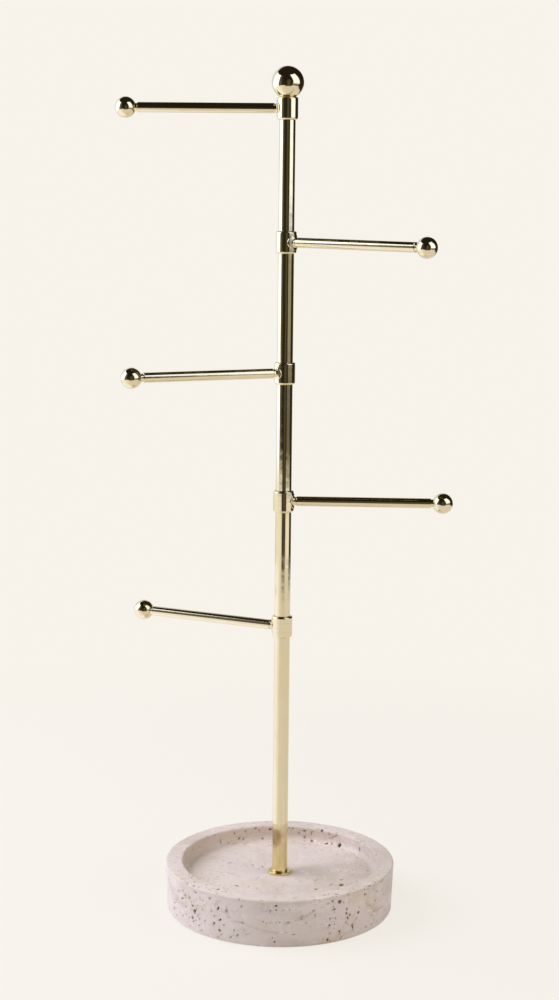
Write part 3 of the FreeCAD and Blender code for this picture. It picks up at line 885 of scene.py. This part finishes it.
def vein_shares(points, veins):
    """How near each point lies to a vein, from 1 on it to 0 off it."""
    nearest = np.full(len(points), np.inf)
    for place in veins:
        nearest = np.minimum(nearest, squares(points, place))
    return np.exp(-nearest / VEIN_WIDE ** 2)


def set_values(mesh, name, values):
    """Store one value a vertex for the material to read."""
    layer = mesh.attributes.new(name, "FLOAT", "POINT")
    layer.data.foreach_set("value", values.astype(np.float32))


SEED = 41


def make_tray():
    """The travertine tray: a turned body with pits sunk into its surface and chips off its rim."""
    draw = np.random.default_rng(SEED)
    mesh = lathe_mesh("tray_stone", tray_outline(), GRID_TURNS)
    points, normals = read_vertices(mesh)
    pits = seen_pits(points, normals, SEEN_PITS, PIT_DEEP, PIT_DARK, draw)
    pits += scattered_pits(points, normals, draw)
    pits += rim_chips(points, normals, draw)
    pits += seen_pits(points, normals, SEEN_MARKS, MARK_DEEP, MARK_DARK, draw)
    veins = seen_veins(points, normals)
    tan_places = seen_at(points, normals, SEEN_TAN)[0]
    pale_places = seen_at(points, normals, SEEN_PALE)[0]
    refine_near(mesh, pits, veins)
    points, normals = read_vertices(mesh)
    sunk, dark = pits_at(points, pits)
    mesh.vertices.foreach_set("co", (points - normals * sunk[:, None]).ravel())
    set_values(mesh, "pit", dark)
    set_values(mesh, "edge", edge_shares(points, normals))
    tan = patch_shares(points, tan_places, SEEN_TAN)
    set_values(mesh, "tan", np.maximum(tan, halo_shares(points, pits)))
    set_values(mesh, "pale", patch_shares(points, pale_places, SEEN_PALE))
    # Painted warm shade on the recess's wall and painted warm light on the tops.
    set_values(mesh, "wall", recess_shade_top_light_shares(points, normals))
    set_values(mesh, "vein", vein_shares(points, veins))
    mesh.polygons.foreach_set("use_smooth", [True] * len(mesh.polygons))
    mesh.update()
    tray = bpy.data.objects.new("travertine_tray", mesh)
    bpy.context.scene.collection.objects.link(tray)
    mesh.materials.append(stone_material())
    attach(tray, "stand")
    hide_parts("stone_tray")


# ---- metal and felt on the CAD nodes ----


# Squeeze of the lines' pattern along X, Y and Z, the lines' height in metres, and added roughness.
DRAWN_UP = (1.0, 1.0, 0.02)
DRAWN_ALONG = (0.02, 1.0, 1.0)
TURNED_ROUND = (0.03, 0.03, 1.0)
DRAWN_HIGH, TURNED_HIGH = 0.000004, 0.000003
RING_DULL = 0.24


def give(node, material):
    """Put one material on a CAD node's object."""
    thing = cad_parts[node]
    if not thing.material_slots:
        thing.data.materials.append(material)
    for slot in thing.material_slots:
        slot.link = "OBJECT"
        slot.material = material


def arm_direction(node):
    """The way an arm points, in radians from +X."""
    low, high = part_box(node)
    middle = (low + high) / 2
    return math.atan2(middle.y, middle.x)


def dress_nodes():
    """Gold on what shows of the post and the arms, steel on what they hide, and felt on the pad."""
    drawn = gold_material("gold_post", stretch=DRAWN_UP, grain_high=DRAWN_HIGH)
    turned = gold_material("gold_turned", stretch=TURNED_ROUND, grain_high=TURNED_HIGH)
    polished = gold_material("gold_ball")
    worn = gold_material("gold_ring", stretch=TURNED_ROUND, grain_high=TURNED_HIGH, dull=RING_DULL)
    steel = steel_material()
    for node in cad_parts:
        if node.startswith("post_tube"):
            give(node, drawn)
        elif node.startswith("collar"):
            give(node, turned)
        elif node == "foot_ring":
            give(node, worn)
        elif node.startswith("arm_ball") or node == "finial_ball":
            give(node, polished)
        elif node.startswith("arm"):
            give(node, gold_material("gold_" + node, arm_direction(node), DRAWN_ALONG, DRAWN_HIGH))
        elif node.startswith(("tube_insert", "swivel_stud", "base_")):
            give(node, steel)
    give("felt_pad", felt_material())


# ---- stage and light ----


def stage_object(name, points, faces, material):
    """A mesh that belongs to the studio and not to the stand."""
    mesh = bpy.data.meshes.new(name)
    mesh.from_pydata(points, [], faces)
    mesh.materials.append(material)
    thing = bpy.data.objects.new(name, mesh)
    bpy.context.scene.collection.objects.link(thing)
    return thing


def seen_by(tree, *kinds):
    """1 for rays of the named kinds, such as Camera and Glossy, and 0 for the rest."""
    path = add(tree, "ShaderNodeLightPath")
    share = path.outputs["Is %s Ray" % kinds[0]]
    for kind in kinds[1:]:
        share = maths(tree, "MAXIMUM", share, path.outputs["Is %s Ray" % kind])
    return share


def glow(tree, colour, strength=1.0):
    """A surface that shines by itself."""
    return add(tree, "ShaderNodeEmission", Color=colour, Strength=strength).outputs[0]


def mix_shaders(tree, share, first, second):
    """Two shaders mixed by a share."""
    return add(tree, "ShaderNodeMixShader", n0=share, n1=first, n2=second).outputs[0]


def azimuth(tree, where):
    """Degrees round the post, from 0 on the camera's side to 90 on the right and -90 on the left."""
    across, along, _ = add(tree, "ShaderNodeSeparateXYZ", Vector=where).outputs
    turn = maths(tree, "ARCTAN2", across, maths(tree, "MULTIPLY", along, -1.0))
    return maths(tree, "DEGREES", turn)


def window(tree, given, low, high, soft):
    """1 between low and high and 0 outside, with edges that are soft wide."""
    rise = band(tree, given, low - soft / 2, low + soft / 2)
    fall = band(tree, given, high - soft / 2, high + soft / 2, 1.0, 0.0)
    return maths(tree, "MULTIPLY", rise, fall)


FLOOR_REACH = 12.0
FLOOR_DROP = 0.0002
# The floor near the stand takes its shadow, and further off it is plain cream. Distances in metres.
NEAR_RANGE = (0.2, 0.55)
FLOOR_OWN = 0.833
FLOOR_LIT = (0.134, 0.1295, 0.120, 1.0)
FLOOR_COLOUR = (0.86, 0.83, 0.77, 1.0)
# The table that mirrors see: its colours in front and on the left, where a painted pool of light makes
# it brighter, the degrees that each part of it takes up and how soft its ends are, and the distances
# at which it ends where it is short.
TABLE_FRONT = (0.770, 0.735, 0.760, 1.0)
TABLE_LEFT_LIT = (1.070, 1.100, 1.360, 1.0)
LEFT_TURNS = (-145, -55, 70)
SHORT_IN_FRONT = (-19, 26, 18)
SHORT_AT_BACK = (84, 200, 16)
TABLE_EDGE = (0.7, 0.93, 0.0, 0.9)


def floor_material():
    """Pale floor: the camera sees its cream with the stand's shadow, and mirrors see a white table
    with a painted pool of light on its left.
    """
    material, tree, where = empty_material("floor")
    away = add(tree, "ShaderNodeVectorMath", {"operation": "LENGTH"}, n0=where).outputs["Value"]
    bounce = add(tree, "ShaderNodeBsdfDiffuse", Color=FLOOR_COLOUR).outputs[0]

    lit = add(tree, "ShaderNodeBsdfDiffuse", Color=FLOOR_LIT).outputs[0]
    near = add(tree, "ShaderNodeAddShader", n0=lit, n1=glow(tree, CREAM, FLOOR_OWN)).outputs[0]
    seen = mix_shaders(tree, band(tree, away, *NEAR_RANGE), near, glow(tree, CREAM))

    turn = azimuth(tree, where)
    # The table's left part is a painted pool of light from the left.
    tint = blend_colours(tree, window(tree, turn, *LEFT_TURNS), TABLE_FRONT, TABLE_LEFT_LIT)
    short = maths(tree, "MAXIMUM", window(tree, turn, *SHORT_IN_FRONT),
                  window(tree, turn, *SHORT_AT_BACK))
    loss = maths(tree, "MULTIPLY", short, band(tree, away, *TABLE_EDGE))
    table = glow(tree, tint, maths(tree, "SUBTRACT", 1.0, loss))

    mixed = mix_shaders(tree, seen_by(tree, "Glossy", "Transmission"), bounce, table)
    mixed = mix_shaders(tree, seen_by(tree, "Camera"), mixed, seen)
    add(tree, "ShaderNodeOutputMaterial", Surface=mixed)
    return material


def make_floor():
    """The floor under the stand."""
    sides = ((-1, -1), (1, -1), (1, 1), (-1, 1))
    corners = [(across * FLOOR_REACH, along * FLOOR_REACH, -FLOOR_DROP) for across, along in sides]
    stage_object("floor", corners, [(0, 1, 2, 3)], floor_material())


DRUM_REACH = 0.88
DRUM_FOOT, DRUM_TOP, DRUM_PEAK = -0.01, 2.2, 2.5
DRUM_STEPS = 144
ROOM_LOW = (0.028, 0.0225, 0.013, 1.0)
ROOM_HIGH = (0.016, 0.0135, 0.008, 1.0)
ROOM_RANGE = (0.35, 0.8)
FIGURE = (0.085, 0.076, 0.050, 1.0)
CARD_LEFT = (1.7, 1.85, 2.4, 1.0)
CARD_BACK = (0.8, 0.84, 0.98, 1.0)
CARD_RIGHT = (1.22, 1.33, 1.74, 1.0)
CARD_DIM = (0.32, 0.315, 0.29, 1.0)
SKIRT = (0.14, 0.13, 0.12, 1.0)
SPILL = (0.96, 0.94, 1.02, 1.0)
BACKDROP = (0.62, 0.6, 0.55, 1.0)
# Between two heights in metres, patches lean, swing or shift round the post by so many degrees.
LEAN = (0.15, 0.6, 0.0, 9.0)
SWING = (0.4, 1.4, 0.0, 16.0)
SHIFT = (0.33, 0.42, 0.0, 14.0)
# Patches in the order in which they are laid on the room: colour, from and to which azimuth in
# degrees and how soft there, from and to which height in metres and how soft there, how much of
# it shows, and whether it stands upright or moves with height.
PATCHES = (
    (FIGURE, (-4, 18, 10), (-1.0, 0.7, 0.2), 1.0, "upright"),
    (BACKDROP, (152, 200, 16), (0.05, 0.8, 0.2), 1.0, "shifting"),
    (SKIRT, (-90, -48, 26), (0.0, 1.2, 0.2), 1.0, "upright"),
    (SPILL, (-150, -23, 22), (-1.0, 0.090, 0.06), 1.0, "upright"),
    (SPILL, (32, 94, 16), (-1.0, 0.086, 0.06), 1.0, "upright"),
    (CARD_DIM, (36, 84, 12), (0.19, 0.36, 0.05), 1.0, "upright"),
    (CARD_DIM, (36, 84, 12), (0.07, 0.36, 0.05), 0.45, "upright"),
    (CARD_RIGHT, (40, 92, 7), (0.33, 1.55, 0.07), 1.0, "swinging"),
    (CARD_BACK, (-165, -120, 30), (0.05, 1.1, 0.15), 1.0, "upright"),
    (CARD_LEFT, (-130, -74, 7), (0.09, 1.18, 0.08), 1.0, "leaning"),
)


def surround_material():
    """What mirrors see round the set: a dark room with white cards, a table's spill and a backdrop."""
    material, tree, where = empty_material("surround")
    turn = azimuth(tree, where)
    high = height_in(tree, where)
    shifted = maths(tree, "SUBTRACT", turn, band(tree, high, *SHIFT))
    turns = {
        "upright": turn,
        "shifting": maths(tree, "ABSOLUTE", shifted),
        "swinging": maths(tree, "ADD", turn, band(tree, high, *SWING)),
        "leaning": maths(tree, "SUBTRACT", turn, band(tree, high, *LEAN)),
    }
    tone = blend_colours(tree, band(tree, high, *ROOM_RANGE), ROOM_LOW, ROOM_HIGH)
    for colour, around, heights, share, stance in PATCHES:
        held = maths(tree, "MULTIPLY", window(tree, turns[stance], *around),
                     window(tree, high, *heights))
        tone = blend_colours(tree, maths(tree, "MULTIPLY", held, share), tone, colour)
    add(tree, "ShaderNodeOutputMaterial", Surface=glow(tree, tone))
    return material


def make_surround():
    """A drum round the set, with a lid, that only mirrors show."""
    points, faces = [(0.0, 0.0, DRUM_PEAK)], []
    for step in range(DRUM_STEPS):
        angle = 2 * math.pi * step / DRUM_STEPS
        across, along = DRUM_REACH * math.cos(angle), DRUM_REACH * math.sin(angle)
        points += [(across, along, DRUM_FOOT), (across, along, DRUM_TOP)]
    for step in range(DRUM_STEPS):
        here, after = 1 + 2 * step, 1 + 2 * ((step + 1) % DRUM_STEPS)
        faces += [(here, after, after + 1, here + 1), (here + 1, after + 1, 0)]
    drum = stage_object("surround", points, faces, surround_material())
    for kind in ("camera", "diffuse", "transmission", "volume_scatter", "shadow"):
        setattr(drum, "visible_" + kind, False)


AMBIENT = 0.28
AMBIENT_TINT = (1.0, 0.978, 0.965, 1.0)
LIT_PLACE = Vector((0.0, 0.0, 0.05))
# Soft lights that face the stand: name, degrees right of the camera's side, distance from the
# axis, height, width and length in metres, radiance and colour.
SOFTBOXES = (
    ("key", -94, 0.8, 0.7, 1.00, 0.9, 4.25, (0.968, 1.010, 1.125)),
    ("fill", 70, 0.85, 0.66, 0.85, 1.1, 1.8, (1.0, 0.975, 0.940)),
    ("top", -60, 0.25, 1.3, 1.2, 1.2, 0.38, (1.0, 0.98, 0.94)),
)


def make_world():
    """Cream seen by the camera and by mirrors, and an even soft light for everything else."""
    world = bpy.data.worlds.new("studio")
    world.use_nodes = True
    bpy.context.scene.world = world
    tree = world.node_tree
    tree.nodes.clear()
    soft = add(tree, "ShaderNodeBackground", Color=AMBIENT_TINT, Strength=AMBIENT).outputs[0]
    seen = add(tree, "ShaderNodeBackground", Color=CREAM, Strength=1.0).outputs[0]
    mixed = mix_shaders(tree, seen_by(tree, "Camera", "Glossy", "Transmission"), soft, seen)
    add(tree, "ShaderNodeOutputWorld", Surface=mixed)


def make_lights():
    """The soft lights, which neither the camera nor mirrors see."""
    for name, turn, away, height, wide, tall, radiance, colour in SOFTBOXES:
        lamp = bpy.data.lights.new(name, "AREA")
        lamp.shape = "RECTANGLE"
        lamp.size, lamp.size_y = wide, tall
        lamp.energy = radiance * math.pi * wide * tall
        lamp.color = colour
        thing = bpy.data.objects.new(name, lamp)
        bpy.context.scene.collection.objects.link(thing)
        angle = math.radians(turn)
        thing.location = (away * math.sin(angle), -away * math.cos(angle), height)
        thing.rotation_euler = (LIT_PLACE - thing.location).to_track_quat("-Z", "Y").to_euler()
        thing.visible_camera = False
        thing.visible_glossy = False


make_camera()
make_world()
make_floor()
make_surround()
make_lights()
dress_nodes()
make_tray()
bpy.context.scene.view_settings.view_transform = "Standard"
